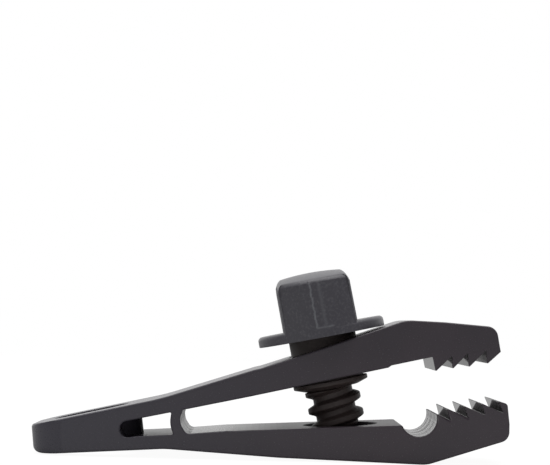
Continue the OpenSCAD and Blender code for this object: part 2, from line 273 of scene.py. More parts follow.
def arm_top(x):
    """Top of the upper arm behind its brow: it falls towards the tail by 18.4 degrees."""
    return [x, BROW_FOOT[1] - (BROW_FOOT[0] - x) * ARM_TOP_SLOPE, 0]


def slot_floor(x):
    """Upper face of the lower arm, the long slot's floor: it climbs by 3.23 degrees."""
    return [x, SLOT_END[1] + (x - SLOT_END[0]) * SLOT_FLOOR_RISE, 0]


bend_x = np.arange(38.4, 44, 0.8)
floor_x = np.arange(64, 46, -1.5)
lower_chain = [
    [1.7, 0.1, 1.8],
    [33.25, 33.25 * TAIL_UNDER_SLOPE, 25.0],
    [*BELLY, BELLY_CORNER],
    CHIN,
    [JAW_FRONT, CHIN_LENGTH * CHIN_SLOPE, 2.5],
    [JAW_FRONT, 10, 3.0],
    [113.6, 14.75, 0.9]]
groove_mouth = [[97.4, 11.8, 0.12], [96.93, 11.8, 0.12]]
groove_wall = arc_points(GROOVE, GROOVE_RADIUS, 6, -147, 24)
groove_back = [slot_floor(GROOVE_BACK)[:2] + [0.6]]
slot_wall = [[45.5, 6.57, 25.0], [38.25, 5.85, 1.5], [36.95, 7.9, 2.5], [36.62, 9.5, 2.5]]
under_chain = [arm_under(x) for x in (THICK_X, ARM_STEP_X, ARM_STEP_X + ARM_STEP_RUN)]
jaw_back = [[95.7, arm_under(95.7)[1], 0.12]]
upper_chain = [
    [111.8, 26.92, 0.3],
    [110.75, 32.73, 2.7],
    [98.5, 33.57, 40.0],
    [89.4, 33.84, 9.0],
    [*BROW_FOOT, 0]]
# the arm's top dips where the edge of the flange comes down on it when the clip is closed
top_chain = [[FLANGE_DIP_X, arm_top(FLANGE_DIP_X)[1] - FLANGE_DIP, 0], arm_top(FLANGE_DIP_END),
             *[arm_top(x) for x in bend_x[::-1]], arm_top(CREASE_X)]
tail_chain = [[31.8, 13.97, 60.0], [0.95, TAIL_END_HEIGHT + 0.95 * TAIL_TOP_SLOPE, 0.8]]
outline = filleted(np.concatenate([
    lower_chain, lower_teeth, groove_mouth, groove_wall, groove_back,
    [slot_floor(x) for x in floor_x], slot_wall, [ROOT_CORNER], [arm_under(x) for x in bend_x],
    under_chain, jaw_back, upper_teeth, front_tooth, upper_chain, top_chain, tail_chain]))
growth = outward(outline)

# Softness of the edges beside the side faces, and finish of the faces between them. The core that
# formed the slot left its walls rougher, and deep marks at its end and in the groove. The teeth's
# steep backs were polished and their long slopes were left as the cutter made them.
SIDE_SOFTNESS, SLOT_SOFTNESS, TOOTH_SOFTNESS = 0.5, 0.3, 0.06
TOOTH_BACK, TOOTH_SLOPE, SLOT_WALL, GROOVE_WALL, OUTER_WALL = -2.0, 2.0, 1.15, -0.2, 0.4
SHORT_SLOT_FLOOR, SHORT_SLOT_WALL, EYELET_WALL, FUNNEL_WALL = 0.6, 1.0, 2.0, 1.5
DEEP_MARKS, FAINT_MARKS = 1.0, 0.3
x, z = outline.T
in_slot = (x > 36.5) & (x < GROOVE_BACK) & (z > 3.5) & (z < arm_under(x)[1] + 0.3)
toothed = (x > 95) & (((z > 11.4) & (z < 15.6)) | ((z > 21.5) & (z < 27.4)))
softness = np.where(toothed, TOOTH_SOFTNESS, np.where(in_slot, SLOT_SOFTNESS, SIDE_SOFTNESS))
side = np.abs(np.roll(outline, -1, 0) - outline)
steep = side[:, 1] > 2 * side[:, 0]
cut_teeth = (x > 95) & (x < 113) & (z > 10) & (z < 26.9)
in_groove = (x > GROOVE_BACK) & (x < 97.2) & (z < 12)
slot_floor_finish = np.interp(x, [46, 62], [0.0, SLOT_WALL])
finish = np.where(in_groove, GROOVE_WALL, OUTER_WALL)
finish = np.where(in_slot, np.where(z < 10.5, slot_floor_finish, SLOT_WALL), finish)
finish = np.where(cut_teeth, np.where(steep, TOOTH_BACK, TOOTH_SLOPE), finish)
slot_end = in_slot & (x < 39.5)
marks = np.where(in_groove | slot_end, DEEP_MARKS, np.where(cut_teeth, 0.0, FAINT_MARKS))


def nearest(place):
    """Number of the outline's point that lies nearest to a place [x, z]."""
    return int(np.argmin(np.hypot(x - place[0], z - place[1])))


# The upper arm is the stretch from its root's corner, under the arm, to the crease on its top
root_at, crease_at = nearest(ROOT_CORNER), nearest(arm_top(CREASE_X))
outline_values = (outline, growth, softness, finish, marks)
body_points = np.r_[np.arange(0, root_at + 1), np.arange(crease_at, len(outline))]
clip_body = carried_across("clip_body", *[value[body_points] for value in outline_values],
                           warp=tail_plan)

# The eyelet and the wall round its inner end stand square to the tail's middle plane
EYELET_TILT = math.radians((TAIL_TOP_DEGREES + TAIL_UNDER_DEGREES) / 2)
EYELET_RADIUS, EYELET_HALF_RUN, EYELET_X = 6.0, 3.25, 15.25
EYELET_Z = TAIL_END_HEIGHT / 2 + EYELET_X * math.tan(EYELET_TILT)
EYELET_WALL_X, EYELET_WALL_RADIUS = 19.5, 7.7


def in_tail(along, up):
    """Distances from the tail's end and from the table of a point of the eyelet's own frame, which
    runs along the tail's middle plane from the eyelet's middle, and up square to that plane."""
    cos, sin = math.cos(EYELET_TILT), math.sin(EYELET_TILT)
    return EYELET_X + along * cos - up * sin, EYELET_Z + along * sin + up * cos


def eyelet_cutter():
    """Rope eyelet: an obround 18.5 mm by 12 mm, square to the tail's middle plane. Its wall meets
    the top and the underside in a quarter circle of 0.2 mm."""
    lip, overrun, skin = 0.2, 3, 0.01
    angle = np.radians(np.linspace(-90, 90, 25))
    right = np.stack([EYELET_HALF_RUN + EYELET_RADIUS * np.cos(angle),
                      EYELET_RADIUS * np.sin(angle)], 1)
    plan = np.concatenate([right, -right])
    normal = plan - np.clip(plan[:, :1], -EYELET_HALF_RUN, EYELET_HALF_RUN) * [[1, 0]]
    normal /= np.linalg.norm(normal, axis=1)[:, None]
    t = np.linspace(0, math.pi / 2, 7)
    depth = np.concatenate([[-overrun], skin + lip * (1 - np.cos(t))])
    opened = np.concatenate([[lip], lip * (1 - np.sin(t))])
    level = np.concatenate([depth, depth[::-1]])[:, None]
    grown = plan[None] + normal[None] * np.concatenate([opened, opened[::-1]])[:, None, None]
    along, across = grown[..., 0], grown[..., 1]
    # distance of the tail's top and underside from its middle plane, square to that plane
    line_x, line_z = in_tail(along, 0)
    cos, sin = math.cos(EYELET_TILT), math.sin(EYELET_TILT)
    top_gap = (TAIL_END_HEIGHT + line_x * TAIL_TOP_SLOPE - line_z) / (cos + sin * TAIL_TOP_SLOPE)
    low_gap = (line_z - line_x * TAIL_UNDER_SLOPE) / (cos + sin * TAIL_UNDER_SLOPE)
    upper = (np.arange(len(level)) < len(depth))[:, None]
    x, z = in_tail(along, np.where(upper, top_gap - level, -(low_gap - level)))
    points = from_tail(x, across, z)
    return mesh_piece("eyelet cutter", points.reshape(-1, 3), capped_faces(*points.shape[:2]))


def eyelet_wall():
    """The wall round the eyelet's inner end: an upright rod whose axis lies 1 mm nearer the jaw
    than the centre of the eyelet's round end."""
    angle = np.radians(np.arange(0, 360, 5))
    along = EYELET_WALL_X - EYELET_X + EYELET_WALL_RADIUS * np.cos(angle)
    half_height = 12
    x, z = in_tail(along[None], np.array([[-half_height], [half_height]]))
    points = from_tail(x, EYELET_WALL_RADIUS * np.sin(angle)[None], z)
    faces = [face[::-1] for face in capped_faces(2, len(angle))]
    return mesh_piece("eyelet wall", points.reshape(-1, 3), faces, finish=EYELET_WALL)


def slot_cutter():
    """Short slot through the tail's sides, with the eyelet's wall left standing in it. Its floor
    runs along the tail's underside and its roof climbs by about 12 degrees. Its mouth opens out in
    a quarter circle of 0.3 mm at each side face."""
    lip, overrun, skin, end_radius = 0.3, 2, 0.01, 1.85
    end_x, roof, roof_run, roof_slope = 22.6, 8.18, 12.15, slope(12.2)
    floor_x, floor_thickness = 22.4, 2.85
    floor = floor_x * TAIL_UNDER_SLOPE + floor_thickness

    def above_floor(x, lift):
        """Height at x of the line parallel to the tail's underside, lift above the floor's end."""
        return floor + (x - floor_x) * TAIL_UNDER_SLOPE + lift

    shape = filleted([[end_x, floor, end_radius], [26.5, above_floor(26.5, 0.38), 3.0],
                      [35.2, above_floor(35.2, 0.4), 0.3], [34.25, above_floor(34.4, 2.9), 6.0],
                      [34.55, roof + roof_run * roof_slope, 0.25], [end_x, roof, end_radius]])
    t = np.linspace(0, math.pi / 2, 5)
    edge = CLIP_WIDTH / 2 - lip * (1 - np.cos(t)) - skin
    outside = CLIP_WIDTH / 2 + overrun
    across = np.concatenate([[-outside], -edge, edge[::-1], [outside]])
    opening = lip * (1 - np.sin(t))
    opened = np.concatenate([[lip], opening, opening[::-1], [lip]])
    xz = shape[None] + outward(shape)[None] * opened[:, None, None]
    points = from_tail(xz[..., 0], across[:, None], xz[..., 1])
    rows, columns = points.shape[:2]
    on_floor = shape[:, 1] < 6.2
    finish = np.where(on_floor, SHORT_SLOT_FLOOR, SHORT_SLOT_WALL)
    slot = mesh_piece("slot cutter", points.reshape(-1, 3), capped_faces(rows, columns),
                      finish=np.concatenate([np.tile(finish, rows - 1), [0, 0]]))
    carve(slot, eyelet_wall())
    return slot


# Where the screw's axis leaves the underside of its flange, its lean towards the tail, and the
# depth below the flange at which it meets the lower arm's upper face
SCREW_X, SCREW_Z, SCREW_LEAN = 70.0, 29.35, math.radians(12)
FACE_DEPTH = 21.56


def from_screw(u, v, w):
    """Point of the screw's own frame in the clip's frame: u along the clip, v across it, and w up
    the screw from the underside of its flange. The screw leans 12 degrees towards the tail."""
    cos, sin = math.cos(SCREW_LEAN), math.sin(SCREW_LEAN)
    return np.stack([SCREW_X - CLIP_LENGTH / 2 + u * cos - w * sin, v,
                     SCREW_Z + u * sin + w * cos], -1)


def turned(profile, sides=96):
    """Closed solid of revolution about the screw's axis from a profile of [radius, height] that
    starts and ends on the axis: its points in the screw's frame and its faces."""
    profile = np.asarray(profile, float)
    angle = np.linspace(0, 2 * math.pi, sides, endpoint=False)
    ring = profile[1:-1]
    u, v = ring[:, :1] * np.cos(angle), ring[:, :1] * np.sin(angle)
    w = np.broadcast_to(ring[:, 1:], u.shape)
    poles = np.array([[0, 0, profile[0, 1]], [0, 0, profile[-1, 1]]])
    local = np.concatenate([np.stack([u, v, w], 2).reshape(-1, 3), poles])
    rows = len(ring)
    first, last, end = rows * sides, rows * sides + 1, (rows - 1) * sides
    column = np.arange(sides)
    following = (column + 1) % sides
    faces = [*grid_faces(rows, sides)]
    faces += [[first, b, a] for a, b in zip(column, following)]
    faces += [[last, end + a, end + b] for a, b in zip(column, following)]
    return local, faces


def tipped(local, tilt, pivot=0.0):
    """Points u, v, w of the screw's frame, turned by tilt about the cross line at height pivot."""
    u, v, w = local[:, 0], local[:, 1], local[:, 2] - pivot
    cos, sin = math.cos(tilt), math.sin(tilt)
    return u * cos - w * sin, v, u * sin + w * cos + pivot


def bore_cutter(name, radius, low, high, lean):
    """Plain round cutter about the screw's axis, turned by lean about the middle of its height."""
    local, faces = turned([[0, low], [radius, low], [radius, high], [0, high]])
    return mesh_piece(name, from_screw(*tipped(local, lean, (low + high) / 2)), faces)


def funnel_cutter():
    """Lead-in of the threaded hole: a step square to the lower arm's face, 9 mm in radius and
    0.4 mm nearer the jaw than the hole."""
    nearer_jaw = 0.4
    local, faces = turned([[0, -1.8], [6.9, -1.8], [7.0, -1.45], [8.85, -1.15], [8.95, -0.15],
                           [9.1, 0], [9.1, 1.5], [0, 1.5]])
    local[:, 0] += nearer_jaw
    u, v, w = tipped(local, math.atan(SLOT_FLOOR_RISE) - SCREW_LEAN)
    return mesh_piece("funnel cutter", from_screw(u, v, w - FACE_DEPTH), faces, finish=FUNNEL_WALL)


carve(clip_body, eyelet_cutter(), slot_cutter(),
      bore_cutter("screw bore", radius=7.0, low=-36, high=-16, lean=0), funnel_cutter())


def srgb(code):
    """Linear colour, with alpha 1, of an sRGB hex value such as "3A383D"."""
    value = np.array([int(code[i:i + 2], 16) for i in (0, 2, 4)]) / 255
    linear = np.where(value <= 0.04045, value / 12.92, ((value + 0.055) / 1.055) ** 2.4)
    return [*linear.tolist(), 1.0]


def add(tree, kind, links=None, **settings):
    """Adds one node. A setting that names a socket sets its value, any other sets the node's own
    property. links maps a socket's name or number to the output that feeds it."""
    made = tree.nodes.new(kind)
    for name, value in settings.items():
        socket = name.replace("_", " ")
        if socket in made.inputs and not hasattr(made, name):
            made.inputs[socket].default_value = value
        else:
            setattr(made, name, value)
    for socket, output in (links or {}).items():
        tree.links.new(output, made.inputs[socket])
    return made


def moulded_nylon(name, dark, light, cool, roughness, grain_mm=0.35, relief=0.15, speckle=0.0):
    """Glass-filled nylon from a spark-eroded mould: near-black grey, with a fine even grain that
    keeps it matt face on and lets it mirror its surroundings at a low angle. Flow marks shift the
    grey slightly over tens of millimetres, and it turns cooler towards the tail. The mould's
    cutting marks leave faint ripples along the clip, and rough streaks where they are deep. Faces
    with a finish above 0 are rougher and mirror less, those below 0 are polished. The mould lines
    marked by the mould_line_highlight attribute are painted paler, a painted highlight where their
    ridges catch the light. The real grain is about 0.1 mm and is drawn at grain_mm so that it shows."""
    flow_mm, band_mm, ripple_mm, grain_depth_mm = 22, 1.8, 0.16, 0.02
    rougher_by_finish, streak_roughness, mottled = 0.15, 0.45, 0.05
    material = bpy.data.materials.new(name)
    material.use_nodes = True
    tree = material.node_tree
    tree.nodes.clear()
    place = add(tree, "ShaderNodeTexCoord").outputs["Object"]
    flow = add(tree, "ShaderNodeTexNoise", {"Vector": place}, Scale=1 / (flow_mm * MM),
               Detail=3.0, Roughness=0.55)
    grain = add(tree, "ShaderNodeTexNoise", {"Vector": place}, Scale=1 / (grain_mm * MM),
                Detail=2.0, Roughness=0.6)
    cloud = add(tree, "ShaderNodeMapRange", {"Value": flow.outputs["Fac"]}, From_Min=0.3,
                From_Max=0.7)
    grey = add(tree, "ShaderNodeMix", {"Factor": cloud.outputs["Result"]}, data_type="RGBA")
    grey.inputs[6].default_value = srgb(dark)
    grey.inputs[7].default_value = srgb(light)
    axes = add(tree, "ShaderNodeSeparateXYZ", {"Vector": place})
    towards_tail = add(tree, "ShaderNodeMapRange", {"Value": axes.outputs["X"]}, From_Min=0.02,
                       From_Max=-0.05)
    tint = add(tree, "ShaderNodeMix", {0: towards_tail.outputs["Result"],
                                       6: grey.outputs[2]}, data_type="RGBA")
    tint.inputs[7].default_value = srgb(cool)
    bright_grain = add(tree, "ShaderNodeMapRange", {"Value": grain.outputs["Fac"]}, From_Min=0.5,
                       From_Max=0.75, To_Max=speckle)
    # painted highlight: the knob's mould lines are painted paler where their ridges catch the light
    painted_highlight = add(tree, "ShaderNodeAttribute", attribute_name="mould_line_highlight")
    paler = add(tree, "ShaderNodeMath", {0: bright_grain.outputs["Result"],
                                         1: painted_highlight.outputs["Fac"]}, operation="ADD", use_clamp=True)
    shade = add(tree, "ShaderNodeMix", {0: paler.outputs[0], 6: tint.outputs[2]},
                data_type="RGBA")
    shade.inputs[7].default_value = srgb("77797E")
    left = add(tree, "ShaderNodeAttribute", attribute_name="finish").outputs["Fac"]
    bands = add(tree, "ShaderNodeTexNoise", {"W": axes.outputs["Y"]}, noise_dimensions="1D",
                Scale=1 / (band_mm * MM), Detail=3.0, Roughness=0.7)
    mottle = add(tree, "ShaderNodeMapRange", {"Value": grain.outputs["Fac"]}, From_Min=0.25,
                 From_Max=0.75, To_Min=roughness - mottled, To_Max=roughness + mottled)
    rough = add(tree, "ShaderNodeMath", {0: left, 2: mottle.outputs["Result"]},
                operation="MULTIPLY_ADD", use_clamp=True)
    rough.inputs[1].default_value = rougher_by_finish
    mirror = add(tree, "ShaderNodeMapRange", {"Value": left}, From_Min=-2.0, From_Max=2.0,
                 To_Min=0.9, To_Max=0.1)
    cut = add(tree, "ShaderNodeAttribute", attribute_name="marks").outputs["Fac"]
    streak = add(tree, "ShaderNodeMapRange", {"Value": bands.outputs["Fac"]}, From_Min=0.5,
                 From_Max=0.62, To_Max=streak_roughness)
    deep = add(tree, "ShaderNodeMapRange", {"Value": cut}, From_Min=0.5)
    rougher = add(tree, "ShaderNodeMath", {0: streak.outputs["Result"], 1: deep.outputs["Result"],
                                           2: rough.outputs[0]},
                  operation="MULTIPLY_ADD", use_clamp=True)
    ripple = add(tree, "ShaderNodeBump", {"Height": bands.outputs["Fac"], "Strength": cut},
                 Distance=ripple_mm * MM)
    bump = add(tree, "ShaderNodeBump", {"Height": grain.outputs["Fac"],
                                        "Normal": ripple.outputs["Normal"]}, Strength=relief,
               Distance=grain_depth_mm * MM)
    shader = add(tree, "ShaderNodeBsdfPrincipled", {"Base Color": shade.outputs[2],
                                                    "Roughness": rougher.outputs[0],
                                                    "Specular IOR Level": mirror.outputs[0],
                                                    "Normal": bump.outputs["Normal"]}, IOR=1.53)
    add(tree, "ShaderNodeOutputMaterial", {"Surface": shader.outputs["BSDF"]})
    return material


clip_nylon = moulded_nylon("glass-filled nylon, clip", "3C363D", "433B42", "424049", 0.24)
clip_body.data.materials.clear()
clip_body.data.materials.append(clip_nylon)
even_shading(clip_body)
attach(clip_body, "base")
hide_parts("clip_base")

# Upper arm and upper jaw, the sprung half of the same moulding. Its thin root bends when the
# screw closes the clip, and its round hole lets the screw's neck turn and lean.
NECK_HOLE_RADIUS, NECK_HOLE_LEAN = 8.65, math.radians(4.1)
arm_points = np.arange(root_at, crease_at + 1)
upper_arm = carried_across("sprung_upper_arm", *[value[arm_points] for value in outline_values])
carve(upper_arm, bore_cutter("neck bore", NECK_HOLE_RADIUS, low=-16, high=3, lean=NECK_HOLE_LEAN))
upper_arm.data.materials.clear()
upper_arm.data.materials.append(clip_nylon)
even_shading(upper_arm)
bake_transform(upper_arm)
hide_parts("upper_arm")

# Internal thread of the lower arm, moulded round a threaded core pin that was screwed out. It is
# the wall of the hole, in the same nylon as the arm, and keeps 0.3 mm clear of the screw.
THREAD_PITCH, THREAD_RADIUS, THREAD_DEPTH, CREST_AT = 4.1, 6.6, 1.65, 19.4
THREAD_CLEARANCE, HOLE_RADIUS, WALL_RADIUS, FUNNEL_DEPTH = 0.3, 6.9, 7.3, 1.5
# fall of the lower arm's underside from belly to chin, and how far above it the wall ends
BELLY_FALL, FOOT_LIFT = 0.83 / 34.4, 0.15
# share of the wall's height that is left plain at each end
PLAIN_SHARE = 0.03


def helix_rise(depth, angle):
    """Height of the right-hand helix's ridge, from 0 to 1, at a depth below the flange and an
    angle: a flat crest, then a half cosine down to a flat root, once each pitch."""
    half_crest, flank = 0.12, 0.26
    share = (CREST_AT - depth) / THREAD_PITCH - angle / (2 * math.pi)
    away = np.abs(share - np.round(share))
    return (1 + np.cos(math.pi * np.clip((away - half_crest) / flank, 0, 1))) / 2


def threaded_wall():
    """Tube inside the lower arm's bore. Its ends follow the arm's two faces, 1.5 mm below the upper
    one, where the funnel ends, and its inner wall follows the screw's helix, 0.3 mm away."""
    angle = np.linspace(0, 2 * math.pi, 96, endpoint=False)[None]
    share = np.linspace(0, 1, 40)[:, None]

    def face_depth(face, rise, sink):
        """Depth at which the hole's wall meets a face of the arm that climbs from the point face,
        lowered by sink."""
        u = HOLE_RADIUS * np.cos(angle)
        x, z = SCREW_X + u * math.cos(SCREW_LEAN), SCREW_Z + u * math.sin(SCREW_LEAN)
        return (z - face[1] - (x - face[0]) * rise + sink) / (math.cos(SCREW_LEAN)
                                                              + math.sin(SCREW_LEAN) * rise)

    top = face_depth(SLOT_END, SLOT_FLOOR_RISE, FUNNEL_DEPTH)
    foot = face_depth(BELLY, -BELLY_FALL, -FOOT_LIFT)
    depth = top + (foot - top) * share
    inner = THREAD_RADIUS + THREAD_CLEARANCE - THREAD_DEPTH * (1 - helix_rise(depth, angle))
    inner = np.where((share < PLAIN_SHARE) | (share > 1 - PLAIN_SHARE), HOLE_RADIUS, inner)
    outer = np.full_like(inner, WALL_RADIUS)
    radius = np.concatenate([inner, outer[::-1]])
    w = -np.concatenate([depth, depth[::-1]])
    points = from_screw(radius * np.cos(angle), radius * np.sin(angle), w)
    rows, columns = radius.shape
    column, end = np.arange(columns), (rows - 1) * columns
    faces = [*grid_faces(rows, columns)]
    faces += [[end + a, end + (a + 1) % columns, (a + 1) % columns, a] for a in column]
    return mesh_piece("hole_thread", points.reshape(-1, 3), faces)


hole_thread = threaded_wall()
hole_thread.data.materials.append(clip_nylon)
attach(hole_thread, "base")
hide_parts("thread_seat")

# Thread of the thumb screw: a coarse rounded helix, moulded with the knob in a smoother,
# blacker grade that slides well. It turns and travels with the knob.
SCREW_LENGTH = 22.2
TIP_RADII, TIP_BEVEL = (4.75, 4.4), 0.25
THREAD_START, FADE_IN, THREAD_END, FADE_OUT = 12.3, 0.6, SCREW_LENGTH - 0.3, 0.5


def screw_thread_piece():
    """Radius at each depth and angle is the core's plus the helix's rise, which fades in below
    the neck and out at the blunt tip."""
    angle = np.linspace(0, 2 * math.pi, 96, endpoint=False)[None]
    depth = np.linspace(0.1, SCREW_LENGTH - 2 * TIP_BEVEL, 190)[:, None]
    fade = np.clip(np.minimum((depth - THREAD_START) / FADE_IN,
                              (THREAD_END - depth) / FADE_OUT), 0, 1)
    radius = THREAD_RADIUS - THREAD_DEPTH * (1 - helix_rise(depth, angle) * fade)
    tip_radius = np.broadcast_to(np.array(TIP_RADII)[:, None], (2, angle.shape[1]))
    radius = np.concatenate([radius, tip_radius])
    depth = np.concatenate([depth, [[SCREW_LENGTH - TIP_BEVEL], [SCREW_LENGTH]]])
    w = np.broadcast_to(-depth, radius.shape)
    points = from_screw(radius * np.cos(angle), radius * np.sin(angle), w)
    return mesh_piece("screw_thread", points.reshape(-1, 3), capped_faces(*radius.shape), sharp=60)


screw_black = moulded_nylon("lubricated nylon, screw", "3C3331", "433836", "3C3331", 0.55,
                            grain_mm=0.5, relief=0.2)
screw_thread = screw_thread_piece()
screw_thread.data.materials.append(screw_black)
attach(screw_thread, "knob")
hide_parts("thread_core")

# Neck of the thumb screw, in the same blacker grade: plain where it turns in the arm, then the
# snap rim that keeps it captive, and the taper that let it be pushed through.
NECK_RADIUS, NECK_LENGTH, UNDER_FLANGE = 8.2, 10.7, 0.05
RIM_RADIUS, RIM_FOOT, TAPER_RADIUS, TAPER_FOOT = 9.1, 11.7, 6.6, 12.55
neck_profile = filleted([
    [0, -UNDER_FLANGE, 0], [NECK_RADIUS, -UNDER_FLANGE, 0.05], [NECK_RADIUS, -NECK_LENGTH, 0.15],
    [RIM_RADIUS, -NECK_LENGTH, 0.2], [RIM_RADIUS, -RIM_FOOT, 0.3], [TAPER_RADIUS, -TAPER_FOOT, 0.2],
    [0, -TAPER_FOOT, 0]], steps=5)
neck_local, neck_faces = turned(neck_profile)
screw_neck = mesh_piece("screw_neck", from_screw(*neck_local.T), [f[::-1] for f in neck_faces])
screw_neck.data.materials.append(screw_black)
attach(screw_neck, "sleeve")
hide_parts("neck_sleeve")

# Knob and flange of the thumb screw: a flat-sided grip with a curved crown on a round flange,
# moulded in glass-filled nylon. Fine ribs flank a smooth panel on each flat, and mould lines run
# up each rounded end, raised a little and painted paler as a painted highlight.
FLANGE_RADIUS, FLANGE_THICKNESS = 15.5, 2.5
KNOB_WIDTH, KNOB_HEIGHT, CROWN_RADIUS = 17.1, 15.8, 55.0
END_DRAFT, FLAT_DRAFT, FOOT_HEIGHT = 0.6, 0.1, 0.02
END_CHAMFER, FLAT_CHAMFER, CHAMFER_POWER = 0.65, 1.15, 1.5
RIB_PLACES, RIB_HALF_WIDTH, RIB_RISE = (4.0, 6.75, 9.5, 12.1), 0.42, 0.24
MOULD_LINE_RISE = 0.12
# how much nearer the tail than the flange the grip stands, and how much smaller the flange's
# radius is than that of the grip's ends
GRIP_SETBACK, FLANGE_SHRINK = 0.2, 0.07


def knob_plan(spacing=0.13, corner_radius=0.6, corner_degrees=3):
    """The grip's plan at its foot: two flats joined by two arcs of the flange's circle, with its
    corners rounded by 0.6 mm, cut into even steps."""
    half, radius = KNOB_WIDTH / 2, FLANGE_RADIUS
    reach = math.degrees(math.asin(half / radius)) - corner_degrees
    end = arc_points((0, 0), radius, 90 - reach, 90 + reach, 15)
    corner = math.sqrt(radius ** 2 - half ** 2)
    plan = filleted(np.concatenate([
        [[half, corner, corner_radius]], end, [[-half, corner, corner_radius]],
        [[-half, -corner, corner_radius]], end * [-1, -1, 1], [[half, -corner, corner_radius]]]))
    loop = np.concatenate([plan, plan[:1]])
    walked = np.concatenate([[0], np.cumsum(np.hypot(*np.diff(loop, axis=0).T))])
    even = np.linspace(0, walked[-1], int(walked[-1] / spacing), endpoint=False)
    return np.stack([np.interp(even, walked, loop[:, 0]), np.interp(even, walked, loop[:, 1])], 1)


def crown(place):
    """Height of the crown over points [..., u, v], a part of a sphere: it falls from its middle by
    radius - sqrt(radius^2 - u^2 - v^2)."""
    return KNOB_HEIGHT - CROWN_RADIUS + np.sqrt(CROWN_RADIUS ** 2 - (place ** 2).sum(-1))


def mould_lines(u, height):
    """How far each point of a rounded end belongs to a mould line: two upright lines that waver a
    little, as sums of three sines of the height, and a short ledge at their foot."""
    waver = (0.09 * np.sin(height * 2.3) + 0.05 * np.sin(height * 6.1 + 1)
             + 0.03 * np.sin(height * 17))

    def line(at, half_width):
        return np.clip(1.3 * (1 - np.abs(u - at - waver) / half_width), 0, 1)

    upright = np.maximum(0.7 * line(-1.0, 0.32), 0.22 * line(1.2, 0.6))
    upright = upright * np.clip((height - 2.2) / 0.3, 0, 1)
    reach = np.clip((u + 1.25) / 0.3, 0, 1) * np.clip((3.4 - u) / 0.5, 0, 1)
    ledge = np.clip(1.3 * (1 - np.abs(height - 2.35 - waver / 2) / 0.28), 0, 1) * reach * 0.5
    return np.maximum(upright, ledge)


def knob_surface():
    """The grip as a grid of plan angle by height: its wall leans in by the draft, turns over in a
    softened chamfer and closes over the crown. The chamfer is a superellipse: inset
    a (1 - cos^p t) and drop a (1 - sin^p t), a being 1.15 mm on the flats and 0.65 mm on the ends.
    Returns points, faces and how far each point belongs to a mould line, which sets how much painted
    highlight it gets."""
    plan = knob_plan()
    normal = outward(plan)
    normal /= np.linalg.norm(normal, axis=1)[:, None]
    facing_u, facing_v = np.abs(normal.T)
    draft = np.where(facing_u > 0.7, FLAT_DRAFT, END_DRAFT)
    chamfer = END_CHAMFER + (FLAT_CHAMFER - END_CHAMFER) * facing_u ** 2
    wall_top = crown(plan - normal * draft[:, None]) - chamfer
    height = FOOT_HEIGHT + (wall_top[None] - FOOT_HEIGHT) * np.linspace(0, 1, 70)[:, None]
    # ribs on the flats: thin half-round bars, and a plain band above them
    gap = np.abs(np.abs(plan[None, :, 1]) - np.array(RIB_PLACES)[:, None]).min(0)[None]
    bar = np.sqrt(np.clip(1 - (gap / RIB_HALF_WIDTH) ** 2, 0, 1)) * RIB_RISE
    band = np.clip((wall_top[None] + 0.1 - height) / 0.5, 0, 1)
    rib = np.where(facing_u > 0.9, bar, 0) * band
    mould_line = np.where(facing_v > 0.7, mould_lines(plan[None, :, 0], height), 0)
    push = rib + MOULD_LINE_RISE * mould_line - draft[None] * height / KNOB_HEIGHT
    wall = plan[None] + normal[None] * push[..., None]
    wall = np.concatenate([wall, height[..., None]], 2)
    t = np.linspace(0, math.pi / 2, 10)[1:, None]
    inset, fall = 1 - np.abs(np.cos(t)) ** CHAMFER_POWER, 1 - np.sin(t) ** CHAMFER_POWER
    rim = wall[-1:, :, :2] - normal[None] * (chamfer * inset)[..., None]
    rim_height = crown(rim) - chamfer * fall
    rim = np.concatenate([rim, rim_height[..., None]], 2)
    inward = np.linspace(1, 0, 14)[1:-1, None, None]
    cap = rim[-1:, :, :2] * inward
    cap = np.concatenate([cap, crown(cap)[..., None]], 2)
    local = np.concatenate([wall, rim, cap])
    rows, columns = local.shape[:2]
    last_row, column = (rows - 1) * columns, np.arange(columns)
    faces = [*grid_faces(rows, columns)]
    faces += [[last_row + a, last_row + (a + 1) % columns, rows * columns] for a in column]
    faces.append(column[::-1])
    local = np.concatenate([local.reshape(-1, 3), [[0, 0, KNOB_HEIGHT]]])
    mould_line_highlight = np.zeros(len(local))
    mould_line_highlight[:mould_line.size] = mould_line.ravel()
    return local, faces, mould_line_highlight


flange_edge = FLANGE_RADIUS - FLANGE_SHRINK
flange_profile = filleted([[0, 0, 0], [flange_edge, 0, 0.2], [flange_edge, FLANGE_THICKNESS, 1.0],
                           [0, FLANGE_THICKNESS, 0]], steps=7)
flange_local, flange_faces = turned(flange_profile, sides=160)
grip_local, grip_faces, grip_line_highlight = knob_surface()
grip_local[:, 0] -= GRIP_SETBACK
knob_points = np.concatenate([flange_local, grip_local])
knob_faces = list(flange_faces) + [np.asarray(f) + len(flange_local) for f in grip_faces]
thumb_knob = mesh_piece("thumb_grip", from_screw(*knob_points.T), knob_faces, sharp=50)
# the mould lines' share is stored for the material, which paints them paler as a painted highlight
mould_line_highlight = thumb_knob.data.attributes.new("mould_line_highlight", "FLOAT", "POINT")
mould_line_highlight.data.foreach_set("value", np.concatenate([np.zeros(len(flange_local)), grip_line_highlight]))
knob_nylon = moulded_nylon("glass-filled nylon, knob", "44424A", "4D4B51", "48474C", 0.38,
                           grain_mm=0.6, relief=0.6, speckle=0.3)
thumb_knob.data.materials.append(knob_nylon)
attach(thumb_knob, "knob")
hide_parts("thumb_knob")

